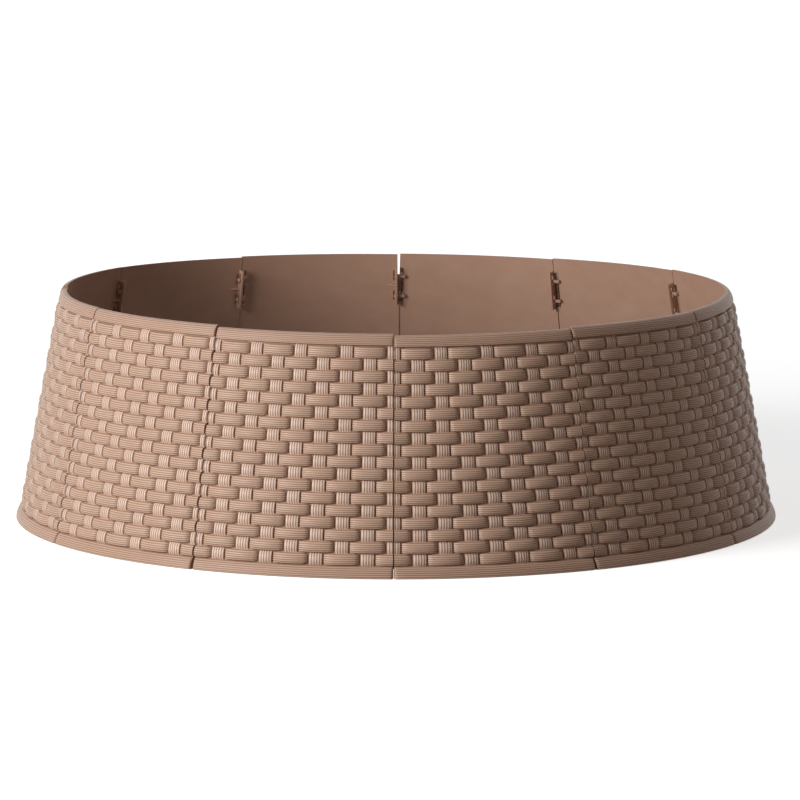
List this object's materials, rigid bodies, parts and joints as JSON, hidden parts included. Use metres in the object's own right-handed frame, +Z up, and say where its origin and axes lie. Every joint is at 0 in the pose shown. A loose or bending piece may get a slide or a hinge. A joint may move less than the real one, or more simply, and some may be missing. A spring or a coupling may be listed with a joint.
{
  "type": "christmas tree collar",
  "caption": "Tapering ring of clipped moulded panels with a basket-weave face, which stands on the floor round the foot of a tree.",
  "frame": {"origin": "middle of the ring on the floor plane", "axes": "+Z up along the ring's axis, a seam between two panels faces -Y"},
  "size_m": [0.76, 0.76, 0.224],
  "materials": {
    "woven_look_plastic": "satin moulded polypropylene in a warm taupe brown, fine ribs on every strand, plain inside"
  },
  "bodies": {
    "panel_01": {"panel_01": "woven_look_plastic"},
    "panel_02": {"panel_02": "woven_look_plastic"},
    "panel_03": {"panel_03": "woven_look_plastic"},
    "panel_04": {"panel_04": "woven_look_plastic"},
    "panel_05": {"panel_05": "woven_look_plastic"},
    "panel_06": {"panel_06": "woven_look_plastic"},
    "panel_07": {"panel_07": "woven_look_plastic"},
    "panel_08": {"panel_08": "woven_look_plastic"},
    "panel_09": {"panel_09": "woven_look_plastic"},
    "panel_10": {"panel_10": "woven_look_plastic"},
    "panel_11": {"panel_11": "woven_look_plastic"},
    "panel_12": {"panel_12": "woven_look_plastic"}
  },
  "joints": [
    {"name": "seam_01_02", "type": "hinge", "parent": "panel_02", "child": "panel_01", "pos_m": [0.1736, -0.29752, 0.112], "axis": [-0.0926, 0.1587, 0.983], "range_deg": [0, 4]},
    {"name": "seam_02_03", "type": "hinge", "parent": "panel_03", "child": "panel_02", "pos_m": [0.2991, -0.17086, 0.112], "axis": [-0.1596, 0.0911, 0.983], "range_deg": [0, 4]},
    {"name": "seam_03_04", "type": "hinge", "parent": "panel_04", "child": "panel_03", "pos_m": [0.34446, 0.00158, 0.112], "axis": [-0.1837, -0.0008, 0.983], "range_deg": [0, 4]},
    {"name": "seam_04_05", "type": "hinge", "parent": "panel_05", "child": "panel_04", "pos_m": [0.29752, 0.1736, 0.112], "axis": [-0.1587, -0.0926, 0.983], "range_deg": [0, 4]},
    {"name": "seam_05_06", "type": "hinge", "parent": "panel_06", "child": "panel_05", "pos_m": [0.17086, 0.2991, 0.112], "axis": [-0.0911, -0.1596, 0.983], "range_deg": [0, 4]},
    {"name": "seam_06_07", "type": "hinge", "parent": "panel_06", "child": "panel_07", "pos_m": [-0.00158, 0.34446, 0.112], "axis": [-0.0008, 0.1837, -0.983], "range_deg": [0, 4]},
    {"name": "seam_07_08", "type": "hinge", "parent": "panel_07", "child": "panel_08", "pos_m": [-0.1736, 0.29752, 0.112], "axis": [-0.0926, 0.1587, -0.983], "range_deg": [0, 4]},
    {"name": "seam_08_09", "type": "hinge", "parent": "panel_08", "child": "panel_09", "pos_m": [-0.2991, 0.17086, 0.112], "axis": [-0.1596, 0.0911, -0.983], "range_deg": [0, 4]},
    {"name": "seam_09_10", "type": "hinge", "parent": "panel_09", "child": "panel_10", "pos_m": [-0.34446, -0.00158, 0.112], "axis": [-0.1837, -0.0008, -0.983], "range_deg": [0, 4]},
    {"name": "seam_10_11", "type": "hinge", "parent": "panel_10", "child": "panel_11", "pos_m": [-0.29752, -0.1736, 0.112], "axis": [-0.1587, -0.0926, -0.983], "range_deg": [0, 4]},
    {"name": "seam_11_12", "type": "hinge", "parent": "panel_11", "child": "panel_12", "pos_m": [-0.17086, -0.2991, 0.112], "axis": [-0.0911, -0.1596, -0.983], "range_deg": [0, 4]}
  ],
  "couplings": [
    {"joint": "seam_01_02", "follows": "seam_06_07", "ratio": 1},
    {"joint": "seam_02_03", "follows": "seam_06_07", "ratio": 1},
    {"joint": "seam_03_04", "follows": "seam_06_07", "ratio": 1},
    {"joint": "seam_04_05", "follows": "seam_06_07", "ratio": 1},
    {"joint": "seam_05_06", "follows": "seam_06_07", "ratio": 1},
    {"joint": "seam_07_08", "follows": "seam_06_07", "ratio": 1},
    {"joint": "seam_08_09", "follows": "seam_06_07", "ratio": 1},
    {"joint": "seam_09_10", "follows": "seam_06_07", "ratio": 1},
    {"joint": "seam_10_11", "follows": "seam_06_07", "ratio": 1},
    {"joint": "seam_11_12", "follows": "seam_06_07", "ratio": 1}
  ]
}
